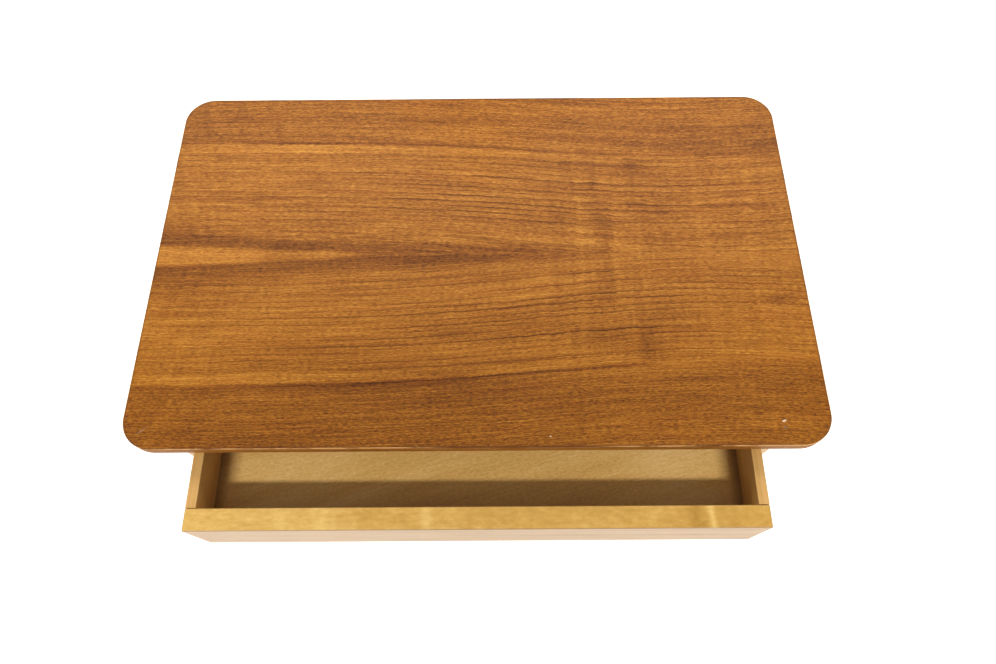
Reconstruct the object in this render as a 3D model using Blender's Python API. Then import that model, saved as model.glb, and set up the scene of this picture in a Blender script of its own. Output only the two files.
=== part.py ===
"""Sewing table: a teak-veneered top on a shallow birch case with one drawer and four splayed legs.

The table stands on the plane z = 0, with X to its right, Y to its back and Z up.
The drawer stands DRAWER_OPEN out of the case. The world origin is on the floor, under the
middle of the box round the table with the drawer in that position.
"""

import math

import bmesh
import bpy
from mathutils import Vector

# Driving dimensions, in metres.
GAP = 0.0003  # left between any two pieces that touch
TOP_WIDTH = 0.600
TOP_DEPTH = 0.370
TOP_HEIGHT = 0.550
TOP_CORNER = 0.028
TOP_THICKNESS = 0.018
VENEER = 0.0008
LIPPING = 0.010
EDGE_SHOWN = 0.011  # the upright part of the edge, above the bevel underneath
UNDER_BEVEL = 0.007

DRAWER_WIDTH = 0.4868
DRAWER_OPEN = 0.0736
FRONT_THICKNESS = 0.019
FRONT_HEIGHT = 0.066
SIDE_THICKNESS = 0.009
SIDE_HEIGHT = 0.052
DRAWER_DEPTH_INSIDE = 0.040
BOTTOM_THICKNESS = 0.004
TOP_CLEARANCE = 0.002
SIDE_CLEARANCE = 0.001

CASE_BOARD = 0.018
CASE_BACK_BOARD = 0.012
CASE_HEIGHT = 0.085
FRONT_RECESS = 0.010
BACK_RECESS = 0.015
RUNNER = 0.014
BEARER_WIDTH = 0.060
BEARER_THICKNESS = 0.016
BEARER_OFFSET = 0.098  # from the middle of the table to the middle of a bearer

LEG_X = 0.205
LEG_SPLAY_X = math.radians(9)
LEG_SPLAY_Y = math.radians(8)
LEG_TOP_RADIUS = 0.0135
LEG_BELLY_RADIUS = 0.0155
LEG_FOOT_RADIUS = 0.0085
LEG_BELLY_AT = 0.22  # of the length, from the top
LEG_TAPER = 1.25  # power of the fall from the belly to the foot
LEG_BLOCK = (0.064, 0.052, 0.020)
LEG_SCREW_OFFSET = 0.023  # from the middle of a leg block to its screws
BOLT_RADIUS = 0.004
BOLT_REACH = (0.030, 0.035)  # up into the block and bearer, and down into the leg
GLIDE_HEIGHT = 0.004
GLIDE_RADIUS = 0.0078
GLIDE_FLAT = 0.70  # of the radius, where a glide meets the floor
GLIDE_PIN_RADIUS = 0.0012
GLIDE_PIN_LENGTH = 0.014

# Joints and fasteners. A screw is (length, shank radius, head radius).
TAIL_LENGTH = 0.012
TAIL_COUNT = 3
TAIL_SLOPE = 1 / 7
TAIL_SHARE = 0.55  # of the pitch, at a tail's root
TONGUE_LENGTH = 0.005
TONGUE_SHOULDERS = (0.003, 0.006)  # across the board, and at its ends
TENON_LENGTH = 0.010
TENON_SHOULDERS = (0.010, 0.004)
GROOVE_DEPTH = 0.0048
FRONT_GROOVE_DEPTH = 0.006
HOUSING_DEPTH = 0.0042
GLUE_BLOCK_SIDE = 0.012
GLUE_BLOCK_LENGTH = 0.060
GLUE_BLOCK_X = 0.150
DOWEL_RADIUS = 0.004
DOWEL_LENGTH = 0.030
DOWEL_CHAMFER = 0.001
DOWEL_DROP = 0.005  # from the top of the case to the middle of a dowel
DOWEL_Y = 0.125
REAR_DOWEL_X = 0.150
LEG_SCREW = (0.028, 0.0020, 0.0040)
RUNNER_SCREW = (0.024, 0.0018, 0.0036)
BOTTOM_SCREW = (0.016, 0.0013, 0.0026)
RUNNER_SCREW_Y = 0.040
BOTTOM_SCREW_X = 0.180
SCREW_RIM = 0.0005
SCREW_SLOT = 0.0008
SCREW_SUNK = 0.001  # of a leg block's screws into its slanting underside

# Width of the eased arrises.
ARRIS = 0.0008
CASE_ARRIS = 0.0015
FRONT_ARRIS = 0.0010
THIN_ARRIS = 0.0006
PANEL_ARRIS = 0.0003
VENEER_ARRIS = 0.0004

# How finely rounds are stepped, and how far a cutter runs past what it cuts.
ROUND_STEPS = 16
SMALL_ROUND_STEPS = 12
LEG_STEPS = 32
LEG_RINGS = 14
CORNER_STEPS = 12
PAST = 0.002
SCREW_HOLE_PAST = 0.010

# Levels and faces that more than one piece is set out from. Y values are for the closed drawer.
TOP_UNDERSIDE = TOP_HEIGHT - TOP_THICKNESS
DRAWER_TOP = TOP_UNDERSIDE - TOP_CLEARANCE
DRAWER_BASE = DRAWER_TOP - SIDE_HEIGHT
PANEL_TOP = DRAWER_TOP - DRAWER_DEPTH_INSIDE
PANEL_BASE = PANEL_TOP - BOTTOM_THICKNESS
CASE_TOP = TOP_UNDERSIDE - GAP
CASE_BASE = TOP_UNDERSIDE - CASE_HEIGHT
CASE_INSIDE = DRAWER_WIDTH / 2 + SIDE_CLEARANCE
CASE_FRONT = -TOP_DEPTH / 2 + FRONT_RECESS
CASE_REAR = TOP_DEPTH / 2 - BACK_RECESS
BEARER_TOP = CASE_BASE + BEARER_THICKNESS
RUNNER_TOP = DRAWER_BASE - GAP
RUNNER_REAR = CASE_REAR - CASE_BACK_BOARD - GAP
FRONT_BACK_FACE = CASE_FRONT + FRONT_THICKNESS
DRAWER_INSIDE = DRAWER_WIDTH / 2 - SIDE_THICKNESS
DRAWER_REAR = 0.150
DRAWER_BACK_REAR = 0.146
BACK_DROP = 0.002  # of the drawer back below the tops of the sides
FRONT_REACH = DRAWER_OPEN - CASE_FRONT
TABLE_Y = (FRONT_REACH - TOP_DEPTH / 2) / 2


def clear_scene():
    for thing in list(bpy.data.objects):
        bpy.data.objects.remove(thing, do_unlink=True)


def finish(name, colour, roughness, metallic=0.0):
    """A Principled material of one colour, given as linear red, green and blue."""
    material = bpy.data.materials.new(name)
    material.use_nodes = True
    shader = material.node_tree.nodes["Principled BSDF"]
    shader.inputs["Base Color"].default_value = (*colour, 1.0)
    shader.inputs["Roughness"].default_value = roughness
    shader.inputs["Metallic"].default_value = metallic
    return material


def empty(name, place, parent=None):
    marker = bpy.data.objects.new(name, None)
    marker.location = place
    marker.parent = parent
    bpy.context.scene.collection.objects.link(marker)
    return marker


def add_object(name, mesh_maker, place, material, parent):
    """Links a new mesh object whose shape the bmesh already holds, about its own origin."""
    mesh = bpy.data.meshes.new(name)
    bmesh.ops.recalc_face_normals(mesh_maker, faces=mesh_maker.faces)
    mesh_maker.to_mesh(mesh)
    mesh_maker.free()
    thing = bpy.data.objects.new(name, mesh)
    thing.location = place
    thing.parent = parent
    if material:
        mesh.materials.append(material)
    bpy.context.scene.collection.objects.link(thing)
    return thing


def as_helper(thing):
    thing.hide_render = True
    thing.display_type = "WIRE"
    return thing


def combine(thing, helper, operation="DIFFERENCE"):
    step = thing.modifiers.new(helper.name, "BOOLEAN")
    step.operation = operation
    step.solver = "EXACT"
    step.object = helper


def box_mesh(size):
    shape = bmesh.new()
    bmesh.ops.create_cube(shape, size=1.0)
    bmesh.ops.scale(shape, vec=size, verts=shape.verts)
    return shape


def board(name, low, high, material, parent, eased=ARRIS):
    """A sawn board between two corners, its arrises eased by a bevel of this width."""
    low, high = Vector(low), Vector(high)
    thing = add_object(name, box_mesh(high - low), (low + high) / 2, material, parent)
    if eased:
        ease(thing, eased)
    return thing


def ease(thing, width):
    """Rounds every arris of a piece by a small bevel."""
    bevel = thing.modifiers.new("eased_arrises", "BEVEL")
    bevel.width = width
    bevel.segments = 3


def helper_box(name, low, high, parent):
    return as_helper(board(name, low, high, None, parent, eased=0))


def loft_mesh(rings):
    """A closed solid through rings of equally many points, with a flat cap at each end."""
    shape = bmesh.new()
    rows = [[shape.verts.new(point) for point in ring] for ring in rings]
    count = len(rows[0])
    for lower, upper in zip(rows, rows[1:]):
        for i in range(count):
            j = (i + 1) % count
            shape.faces.new((lower[i], lower[j], upper[j], upper[i]))
    shape.faces.new(rows[0])
    shape.faces.new(rows[-1])
    return shape


def prisms_mesh(outlines, low_x, high_x):
    """Straight prisms along X, one for each outline of (y, z) points."""
    shape = bmesh.new()
    for outline in outlines:
        near = [shape.verts.new((low_x, y, z)) for y, z in outline]
        far = [shape.verts.new((high_x, y, z)) for y, z in outline]
        shape.faces.new(near)
        shape.faces.new(far)
        for i in range(len(outline)):
            j = (i + 1) % len(outline)
            shape.faces.new((near[i], near[j], far[j], far[i]))
    return shape


def turned_rings(profile, axis, steps=ROUND_STEPS):
    """Rings of a turned solid: the profile holds (distance along the axis, radius)."""
    axis = Vector(axis).normalized()
    side = axis.orthogonal().normalized()
    other = axis.cross(side)
    rings = []
    for along, radius in profile:
        ring = []
        for step in range(steps):
            angle = math.tau * step / steps
            ring.append(axis * along + (side * math.cos(angle) + other * math.sin(angle)) * radius)
        rings.append(ring)
    return rings


def shade_round(thing):
    thing.data.shade_smooth()
    thing.data.set_sharp_from_angle(angle=math.radians(35))


def turned(name, place, axis, profile, material, parent, steps=ROUND_STEPS):
    """A solid of revolution about an axis through its place."""
    thing = add_object(name, loft_mesh(turned_rings(profile, axis, steps)), place, material, parent)
    shade_round(thing)
    return thing


def rounded_outline(inset, height):
    """The outline of the top drawn in by inset: four straight sides and four quarter circles."""
    radius = TOP_CORNER - inset
    centre_x = TOP_WIDTH / 2 - TOP_CORNER
    centre_y = TOP_DEPTH / 2 - TOP_CORNER
    points = []
    for quarter, (side_x, side_y) in enumerate(((1, 1), (-1, 1), (-1, -1), (1, -1))):
        for step in range(CORNER_STEPS + 1):
            angle = math.pi / 2 * (quarter + step / CORNER_STEPS)
            x = side_x * centre_x + radius * math.cos(angle)
            y = side_y * centre_y + radius * math.sin(angle)
            points.append((x, y, height))
    return points


def build_top(teak, solid_teak, core_wood, backing_wood, parent):
    """Teak face veneer over a blockboard core and its solid lipping, balanced underneath."""
    face_base = TOP_HEIGHT - VENEER
    rings = [
        rounded_outline(0, face_base),
        rounded_outline(0, TOP_HEIGHT - VENEER_ARRIS),
        rounded_outline(VENEER_ARRIS, TOP_HEIGHT),
    ]
    veneer = add_object("tabletop_veneer", loft_mesh(rings), (0, 0, 0), teak, parent)
    shade_round(veneer)

    lipping_top = face_base - GAP
    section = (
        (0, lipping_top),
        (0, TOP_HEIGHT - EDGE_SHOWN),
        (UNDER_BEVEL, TOP_UNDERSIDE),
        (LIPPING, TOP_UNDERSIDE),
        (LIPPING, lipping_top),
    )
    shape = bmesh.new()
    rows = []
    for inset, height in section:
        rows.append([shape.verts.new(point) for point in rounded_outline(inset, height)])
    for row, following in zip(rows, rows[1:] + rows[:1]):
        for i in range(len(row)):
            j = (i + 1) % len(row)
            shape.faces.new((row[i], row[j], following[j], following[i]))
    lipping = add_object("tabletop_lipping", shape, (0, 0, 0), solid_teak, parent)
    shade_round(lipping)

    core_base = TOP_UNDERSIDE + VENEER + GAP
    inside = LIPPING + GAP
    rings = [rounded_outline(inside, core_base), rounded_outline(inside, face_base - GAP)]
    core = add_object("tabletop_core", loft_mesh(rings), (0, 0, 0), core_wood, parent)
    rings = [rounded_outline(inside, TOP_UNDERSIDE), rounded_outline(inside, core_base - GAP)]
    backing = add_object("tabletop_backing", loft_mesh(rings), (0, 0, 0), backing_wood, parent)
    return core, backing


def build_case(wood, parent):
    """Two sides and a back tongued into them, on two bearers that tie the sides together."""
    sides = {}
    for name, sign in (("left", -1), ("right", 1)):
        low_x, high_x = sorted((sign * CASE_INSIDE, sign * (CASE_INSIDE + CASE_BOARD)))
        sides[name] = board(
            f"case_side_{name}",
            (low_x, CASE_FRONT, CASE_BASE),
            (high_x, CASE_REAR, CASE_TOP),
            wood,
            parent,
            eased=CASE_ARRIS,
        )

    inside = CASE_INSIDE - GAP
    back_front = CASE_REAR - CASE_BACK_BOARD
    back = board(
        "case_back", (-inside, back_front, CASE_BASE), (inside, CASE_REAR, CASE_TOP), wood, parent
    )
    across, at_ends = TONGUE_SHOULDERS
    tongue_sides = (back_front + across, CASE_REAR - across)
    tongue_ends = (CASE_BASE + at_ends, CASE_TOP - at_ends)
    join_between_sides(back, tongue_sides, tongue_ends, TONGUE_LENGTH, sides, parent)

    bearers = {}
    across, at_ends = TENON_SHOULDERS
    for name, middle in (("front", -BEARER_OFFSET), ("back", BEARER_OFFSET)):
        low_y, high_y = middle - BEARER_WIDTH / 2, middle + BEARER_WIDTH / 2
        bearer = board(
            f"{name}_bearer",
            (-inside, low_y, CASE_BASE),
            (inside, high_y, BEARER_TOP),
            wood,
            parent,
        )
        tenon_sides = (low_y + across, high_y - across)
        tenon_ends = (CASE_BASE + at_ends, BEARER_TOP - at_ends)
        join_between_sides(bearer, tenon_sides, tenon_ends, TENON_LENGTH, sides, parent)
        bearers[name] = bearer

    runners = {}
    for name, sign in (("left", -1), ("right", 1)):
        low_x, high_x = sorted((sign * inside, sign * (inside - RUNNER)))
        runners[name] = board(
            f"runner_{name}",
            (low_x, FRONT_BACK_FACE + GAP, BEARER_TOP + GAP),
            (high_x, RUNNER_REAR, RUNNER_TOP),
            wood,
            parent,
        )
    return sides, back, bearers, runners


def join_between_sides(piece, across, upright, length, sides, parent):
    """A tongue or tenon on both ends of a piece, and the mortise for it in each case side."""
    reach = CASE_INSIDE - GAP + length
    bar = helper_box(
        f"{piece.name}_tenons",
        (-reach, across[0], upright[0]),
        (reach, across[1], upright[1]),
        parent,
    )
    combine(piece, bar, "UNION")
    reach += GAP
    mortises = helper_box(
        f"{piece.name}_mortises",
        (-reach, across[0] - GAP, upright[0] - GAP),
        (reach, across[1] + GAP, upright[1] + GAP),
        parent,
    )
    for side in sides.values():
        combine(side, mortises)


def tail_edges(index, along, grown=0.0):
    """Lower and upper z of a dovetail, at a distance along it from its root."""
    pitch = SIDE_HEIGHT / TAIL_COUNT
    middle = DRAWER_BASE + pitch * (index + 0.5)
    half = pitch * TAIL_SHARE / 2 + along * TAIL_SLOPE + grown
    return middle - half, middle + half


def tails_outline(index, grown):
    """One dovetail as (y, z) points, run on past its root so that it opens a socket fully."""
    end = TAIL_LENGTH + grown
    points = []
    for along, which in ((-PAST, 0), (end, 0), (end, 1), (-PAST, 1)):
        points.append((FRONT_BACK_FACE - along, tail_edges(index, along, grown)[which]))
    return points


def waste_outlines():
    """What is sawn away between and beside the dovetails, as (y, z) outlines."""
    root = FRONT_BACK_FACE + GAP
    end = TAIL_LENGTH + PAST
    outlines = []
    for index in range(TAIL_COUNT + 1):
        if index:
            low_root, low_end = tail_edges(index - 1, 0)[1], tail_edges(index - 1, end)[1]
        else:
            low_root = low_end = DRAWER_BASE - PAST
        if index < TAIL_COUNT:
            high_root, high_end = tail_edges(index, 0)[0], tail_edges(index, end)[0]
        else:
            high_root = high_end = DRAWER_TOP + PAST
        tip = FRONT_BACK_FACE - end
        outlines.append([(root, low_root), (tip, low_end), (tip, high_end), (root, high_root)])
    return outlines


def build_drawer(wood, ply, parent):
    """Front lap-dovetailed to the sides, back in housings, plywood bottom in grooves."""
    half = DRAWER_WIDTH / 2
    front = board(
        "drawer_front",
        (-half, CASE_FRONT, DRAWER_TOP - FRONT_HEIGHT),
        (half, FRONT_BACK_FACE, DRAWER_TOP),
        wood,
        parent,
        eased=FRONT_ARRIS,
    )
    panel_front = FRONT_BACK_FACE - FRONT_GROOVE_DEPTH
    back_front = DRAWER_BACK_REAR - SIDE_THICKNESS
    sockets = [tails_outline(index, GAP) for index in range(TAIL_COUNT)]
    panel_edge = DRAWER_INSIDE + GROOVE_DEPTH
    front_groove = helper_box(
        "drawer_front_groove",
        (-panel_edge, panel_front, PANEL_BASE - GAP),
        (panel_edge, FRONT_BACK_FACE + PAST, PANEL_TOP + GAP),
        parent,
    )
    combine(front, front_groove)

    for name, sign in (("left", -1), ("right", 1)):
        low_x, high_x = sorted((sign * DRAWER_INSIDE, sign * half))
        side = board(
            f"drawer_side_{name}",
            (low_x, FRONT_BACK_FACE - TAIL_LENGTH, DRAWER_BASE),
            (high_x, DRAWER_REAR, DRAWER_TOP),
            wood,
            parent,
            eased=THIN_ARRIS,
        )
        waste_shape = prisms_mesh(waste_outlines(), low_x - PAST, high_x + PAST)
        waste = as_helper(add_object(f"{side.name}_waste", waste_shape, (0, 0, 0), None, parent))
        combine(side, waste)
        inner, outer = sign * (DRAWER_INSIDE - PAST), sign * panel_edge
        side_groove = helper_box(
            f"{side.name}_groove",
            (min(inner, outer), panel_front - GAP, PANEL_BASE - GAP),
            (max(inner, outer), DRAWER_REAR + PAST, PANEL_TOP + GAP),
            parent,
        )
        combine(side, side_groove)
        outer = sign * (DRAWER_INSIDE + HOUSING_DEPTH)
        side_housing = helper_box(
            f"{side.name}_housing",
            (min(inner, outer), back_front - GAP, PANEL_TOP),
            (max(inner, outer), DRAWER_BACK_REAR + GAP, DRAWER_TOP + PAST),
            parent,
        )
        combine(side, side_housing)
        inner, outer = sign * (DRAWER_INSIDE - GAP), sign * (half + PAST)
        socket_shape = prisms_mesh(sockets, min(inner, outer), max(inner, outer))
        socket = as_helper(
            add_object(f"drawer_front_sockets_{name}", socket_shape, (0, 0, 0), None, parent)
        )
        combine(front, socket)

    reach = DRAWER_INSIDE + HOUSING_DEPTH - GAP
    back = board(
        "drawer_back",
        (-reach, back_front, PANEL_TOP + GAP),
        (reach, DRAWER_BACK_REAR, DRAWER_TOP - BACK_DROP),
        wood,
        parent,
        eased=THIN_ARRIS,
    )
    reach = panel_edge - GAP
    bottom = board(
        "drawer_bottom",
        (-reach, panel_front + GAP, PANEL_BASE),
        (reach, DRAWER_BACK_REAR, PANEL_TOP),
        ply,
        parent,
        eased=PANEL_ARRIS,
    )
    for name, middle in (("left", -GLUE_BLOCK_X), ("right", GLUE_BLOCK_X)):
        build_glue_block(f"drawer_glue_block_{name}", middle, wood, parent)
    return back, bottom


def build_glue_block(name, middle, wood, parent):
    """A three-cornered strip glued into the angle behind the front and under the bottom."""
    y, z = FRONT_BACK_FACE + GAP, PANEL_BASE - GAP
    outline = [(y, z), (y, z - GLUE_BLOCK_SIDE), (y + GLUE_BLOCK_SIDE, z)]
    half = GLUE_BLOCK_LENGTH / 2
    shape = prisms_mesh([outline], middle - half, middle + half)
    add_object(name, shape, (0, 0, 0), wood, parent)


def countersunk_profile(size, start, grown=0.0):
    """A wood screw as (distance, radius) from start, at or outside its head, to its point."""
    length, shank, head = size
    return (
        (start, head + grown),
        (SCREW_RIM, head + grown),
        (SCREW_RIM + head - shank, shank + grown),
        (length - 2 * shank, shank + grown),
        (length + grown, max(shank * 0.2, grown)),
    )


def screw(name, head_place, axis, size, through, steel, parent):
    """A slotted countersunk wood screw, and its hole in every piece that it goes through."""
    profile = countersunk_profile(size, 0.0)
    body = turned(name, head_place, axis, profile, steel, parent, SMALL_ROUND_STEPS)
    across = Vector((0, 1, 0)) if abs(Vector(axis).y) < 0.5 else Vector((1, 0, 0))
    slot_size = Vector((SCREW_SLOT, SCREW_SLOT, SCREW_SLOT)) + across * size[2] * 3
    slot = add_object(f"{name}_slot", box_mesh(slot_size), head_place, None, parent)
    combine(body, as_helper(slot))
    profile = countersunk_profile(size, -SCREW_HOLE_PAST, GAP)
    hole = turned(f"{name}_hole", head_place, axis, profile, None, parent, SMALL_ROUND_STEPS)
    as_helper(hole)
    for piece in through:
        combine(piece, hole)


def dowel(name, middle, through, wood, parent):
    """An upright glued dowel, and its hole in the pieces that it joins."""
    half = DOWEL_LENGTH / 2
    profile = (
        (-half, DOWEL_RADIUS - DOWEL_CHAMFER),
        (-half + DOWEL_CHAMFER, DOWEL_RADIUS),
        (half - DOWEL_CHAMFER, DOWEL_RADIUS),
        (half, DOWEL_RADIUS - DOWEL_CHAMFER),
    )
    upright = (0, 0, 1)
    turned(name, middle, upright, profile, wood, parent, SMALL_ROUND_STEPS)
    profile = ((-half - GAP, DOWEL_RADIUS + GAP), (half + GAP, DOWEL_RADIUS + GAP))
    hole = turned(f"{name}_hole", middle, upright, profile, None, parent, SMALL_ROUND_STEPS)
    as_helper(hole)
    for piece in through:
        combine(piece, hole)


def build_leg(name, sign_x, sign_y, bearer, woods, metals, parent):
    """A turned leg on a wedge-shaped block, held by a bolt, with a glide under its foot."""
    leg_wood, block_wood = woods
    steel, glide_stuff = metals
    downward = Vector(
        (sign_x * math.tan(LEG_SPLAY_X), sign_y * math.tan(LEG_SPLAY_Y), -1.0)
    ).normalized()
    block_top = CASE_BASE - GAP
    seat = Vector((sign_x * LEG_X, sign_y * BEARER_OFFSET, block_top - LEG_BLOCK[2]))

    half_x, half_y = LEG_BLOCK[0] / 2, LEG_BLOCK[1] / 2
    corners = [(half_x, half_y), (-half_x, half_y), (-half_x, -half_y), (half_x, -half_y)]
    tilted = []
    for x, y in corners:
        tilted.append((x, y, -(downward.x * x + downward.y * y) / downward.z))
    flat = [(x, y, LEG_BLOCK[2]) for x, y in corners]
    block = add_object(f"leg_block_{name}", loft_mesh([tilted, flat]), seat, block_wood, parent)
    ease(block, CASE_ARRIS)

    top = seat + downward * GAP
    foot_height = GLIDE_HEIGHT + GAP
    length = (top.z - foot_height) / -downward.z
    leg_shape = loft_mesh(leg_rings(downward, length, top.z - foot_height))
    leg = add_object(f"leg_{name}", leg_shape, top, leg_wood, parent)
    shade_round(leg)

    up, down = BOLT_REACH
    profile = ((-up, BOLT_RADIUS), (down, BOLT_RADIUS))
    turned(f"leg_bolt_{name}", seat, downward, profile, steel, parent, SMALL_ROUND_STEPS)
    profile = ((-up - GAP, BOLT_RADIUS + GAP), (down + GAP, BOLT_RADIUS + GAP))
    hole = turned(
        f"leg_bolt_{name}_hole", seat, downward, profile, None, parent, SMALL_ROUND_STEPS
    )
    as_helper(hole)
    for piece in (leg, block, bearer):
        combine(piece, hole)

    foot = top + downward * length
    upright = (0, 0, 1)
    place = (foot.x, foot.y, 0)
    pin_top = GLIDE_HEIGHT + GLIDE_PIN_LENGTH
    profile = (
        (0.0, GLIDE_RADIUS * GLIDE_FLAT),
        (GLIDE_HEIGHT * 0.35, GLIDE_RADIUS),
        (GLIDE_HEIGHT, GLIDE_RADIUS),
        (GLIDE_HEIGHT, GLIDE_PIN_RADIUS),
        (pin_top, GLIDE_PIN_RADIUS),
    )
    turned(f"foot_glide_{name}", place, upright, profile, glide_stuff, parent)
    profile = ((0.0, GLIDE_PIN_RADIUS + GAP), (pin_top + GAP, GLIDE_PIN_RADIUS + GAP))
    hole = turned(
        f"foot_glide_{name}_hole", place, upright, profile, None, parent, SMALL_ROUND_STEPS
    )
    combine(leg, as_helper(hole))

    for side, outward in (("inner", -sign_x), ("outer", sign_x)):
        dx = outward * LEG_SCREW_OFFSET
        under = seat.z - downward.x * dx / downward.z
        place = (seat.x + dx, seat.y, under + SCREW_SUNK)
        screw_name = f"leg_block_screw_{name}_{side}"
        screw(screw_name, place, upright, LEG_SCREW, (block, bearer), steel, parent)


def leg_rings(downward, length, drop):
    """The leg swells from its top to a belly and then tapers, and its foot is cut level."""
    profile = []
    for step in range(LEG_RINGS + 1):
        along = step / LEG_RINGS
        if along < LEG_BELLY_AT:
            swell = math.sin(math.pi / 2 * along / LEG_BELLY_AT)
            radius = LEG_TOP_RADIUS + (LEG_BELLY_RADIUS - LEG_TOP_RADIUS) * swell
        else:
            fall = (along - LEG_BELLY_AT) / (1 - LEG_BELLY_AT)
            radius = LEG_BELLY_RADIUS + (LEG_FOOT_RADIUS - LEG_BELLY_RADIUS) * fall**LEG_TAPER
        profile.append((along * length, radius))
    rings = turned_rings(profile, downward, LEG_STEPS)
    rings[-1] = [point + downward * ((point.z + drop) / -downward.z) for point in rings[-1]]
    return rings


def main():
    clear_scene()
    teak = finish("teak_veneer", (0.36, 0.14, 0.035), 0.34)
    solid_teak = finish("teak_lipping", (0.33, 0.13, 0.035), 0.40)
    core_wood = finish("core_board", (0.55, 0.40, 0.22), 0.70)
    backing_wood = finish("backing_veneer", (0.48, 0.32, 0.15), 0.60)
    birch = finish("birch", (0.62, 0.42, 0.18), 0.42)
    case_birch = finish("case_birch", (0.62, 0.45, 0.24), 0.45)
    ply = finish("birch_plywood", (0.60, 0.42, 0.22), 0.50)
    beech = finish("beech", (0.56, 0.33, 0.15), 0.38)
    dowel_wood = finish("dowel_beech", (0.58, 0.40, 0.22), 0.60)
    steel = finish("zinc_steel", (0.55, 0.55, 0.53), 0.35, 1.0)
    glide_stuff = finish("glide_nickel", (0.62, 0.60, 0.56), 0.28, 1.0)

    table = empty("table_middle", (0, TABLE_Y, 0))
    slide = empty("drawer_slide", (0, -DRAWER_OPEN, 0), table)

    core, backing = build_top(teak, solid_teak, core_wood, backing_wood, table)
    sides, case_back, bearers, runners = build_case(case_birch, table)
    drawer_back, drawer_bottom = build_drawer(birch, ply, slide)

    for side_name, sign_x in (("left", -1), ("right", 1)):
        for end_name, sign_y in (("front", -1), ("back", 1)):
            build_leg(
                f"{end_name}_{side_name}",
                sign_x,
                sign_y,
                bearers[end_name],
                (beech, case_birch),
                (steel, glide_stuff),
                table,
            )

    dowel_z = CASE_TOP - DOWEL_DROP
    for side_name, sign_x in (("left", -1), ("right", 1)):
        side_middle = sign_x * (CASE_INSIDE + CASE_BOARD / 2)
        runner_face = sign_x * (CASE_INSIDE - GAP - RUNNER)
        for end_name, end in (("front", -1), ("back", 1)):
            through = (core, backing, sides[side_name])
            place = (side_middle, end * DOWEL_Y, dowel_z)
            dowel(f"top_dowel_{end_name}_{side_name}", place, through, dowel_wood, table)
            through = (runners[side_name], sides[side_name])
            place = (runner_face, end * RUNNER_SCREW_Y, (BEARER_TOP + RUNNER_TOP) / 2)
            name = f"runner_screw_{end_name}_{side_name}"
            screw(name, place, (sign_x, 0, 0), RUNNER_SCREW, through, steel, table)
        place = (sign_x * REAR_DOWEL_X, CASE_REAR - CASE_BACK_BOARD / 2, dowel_z)
        through = (core, backing, case_back)
        dowel(f"top_dowel_rear_{side_name}", place, through, dowel_wood, table)

    through = (drawer_bottom, drawer_back)
    screw_y = DRAWER_BACK_REAR - SIDE_THICKNESS / 2
    for name, side in (("left", -1), ("middle", 0), ("right", 1)):
        place = (side * BOTTOM_SCREW_X, screw_y, PANEL_BASE + GAP)
        screw(f"bottom_screw_{name}", place, (0, 0, 1), BOTTOM_SCREW, through, steel, slide)


main()
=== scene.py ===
import bmesh
import bpy
import numpy as np
from mathutils import Matrix, Vector


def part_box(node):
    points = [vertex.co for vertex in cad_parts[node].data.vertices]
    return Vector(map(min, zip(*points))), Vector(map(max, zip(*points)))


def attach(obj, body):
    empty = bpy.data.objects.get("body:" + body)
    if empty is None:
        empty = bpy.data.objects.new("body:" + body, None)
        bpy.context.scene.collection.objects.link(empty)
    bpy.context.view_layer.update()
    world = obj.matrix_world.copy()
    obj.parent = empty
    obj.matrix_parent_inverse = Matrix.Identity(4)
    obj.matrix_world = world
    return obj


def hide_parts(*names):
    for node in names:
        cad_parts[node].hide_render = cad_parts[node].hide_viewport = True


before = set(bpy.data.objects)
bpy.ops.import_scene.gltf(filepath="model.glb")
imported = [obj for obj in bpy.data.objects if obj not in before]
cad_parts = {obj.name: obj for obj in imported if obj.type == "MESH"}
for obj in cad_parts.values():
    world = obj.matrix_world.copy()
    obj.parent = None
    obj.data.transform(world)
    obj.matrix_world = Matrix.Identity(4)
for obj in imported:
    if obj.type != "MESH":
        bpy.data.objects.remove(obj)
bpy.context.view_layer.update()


# The room: a plain pale floor under bright white walls. Two long, narrow soft boxes hang well
# above and in front of the table, left and right, so the drawer front throws a shadow on the
# drawer bottom. A flag between them lets each end of the drawer be lit from its own side.

def mesh_piece(name, points, faces, material, smooth=True):
    """A mesh object at the origin, from an (n, 3) array of points and lists of corner numbers."""
    mesh = bpy.data.meshes.new(name)
    mesh.from_pydata(points.tolist(), [], [list(face) for face in faces])
    mesh.validate()
    piece = bpy.data.objects.new(name, mesh)
    bpy.context.scene.collection.objects.link(piece)
    mesh.materials.append(material)
    if smooth:
        mesh.shade_smooth()
    return piece


FLOOR_REACH = 30.0
FLOOR_GLOW = 0.34
FLOOR_GLOW_SEEN = 0.64
floor_paint = bpy.data.materials.new("floor_paint")
floor_paint.use_nodes = True
floor_shader = floor_paint.node_tree.nodes["Principled BSDF"]
floor_shader.inputs["Base Color"].default_value = (0.90, 0.90, 0.90, 1)
floor_shader.inputs["Roughness"].default_value = 0.9
floor_shader.inputs["Specular IOR Level"].default_value = 0.1
floor_shader.inputs["Emission Color"].default_value = (1, 1, 1, 1)
floor_nodes = floor_paint.node_tree.nodes
floor_path = floor_nodes.new("ShaderNodeLightPath")
floor_glow = floor_nodes.new("ShaderNodeMapRange")
floor_glow.inputs["To Min"].default_value = FLOOR_GLOW
floor_glow.inputs["To Max"].default_value = FLOOR_GLOW_SEEN
floor_paint.node_tree.links.new(floor_path.outputs["Is Camera Ray"], floor_glow.inputs["Value"])
floor_paint.node_tree.links.new(floor_glow.outputs[0], floor_shader.inputs["Emission Strength"])
floor_corners = FLOOR_REACH * np.array([[-1, -1, 0], [1, -1, 0], [1, 1, 0], [-1, 1, 0]], float)
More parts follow.
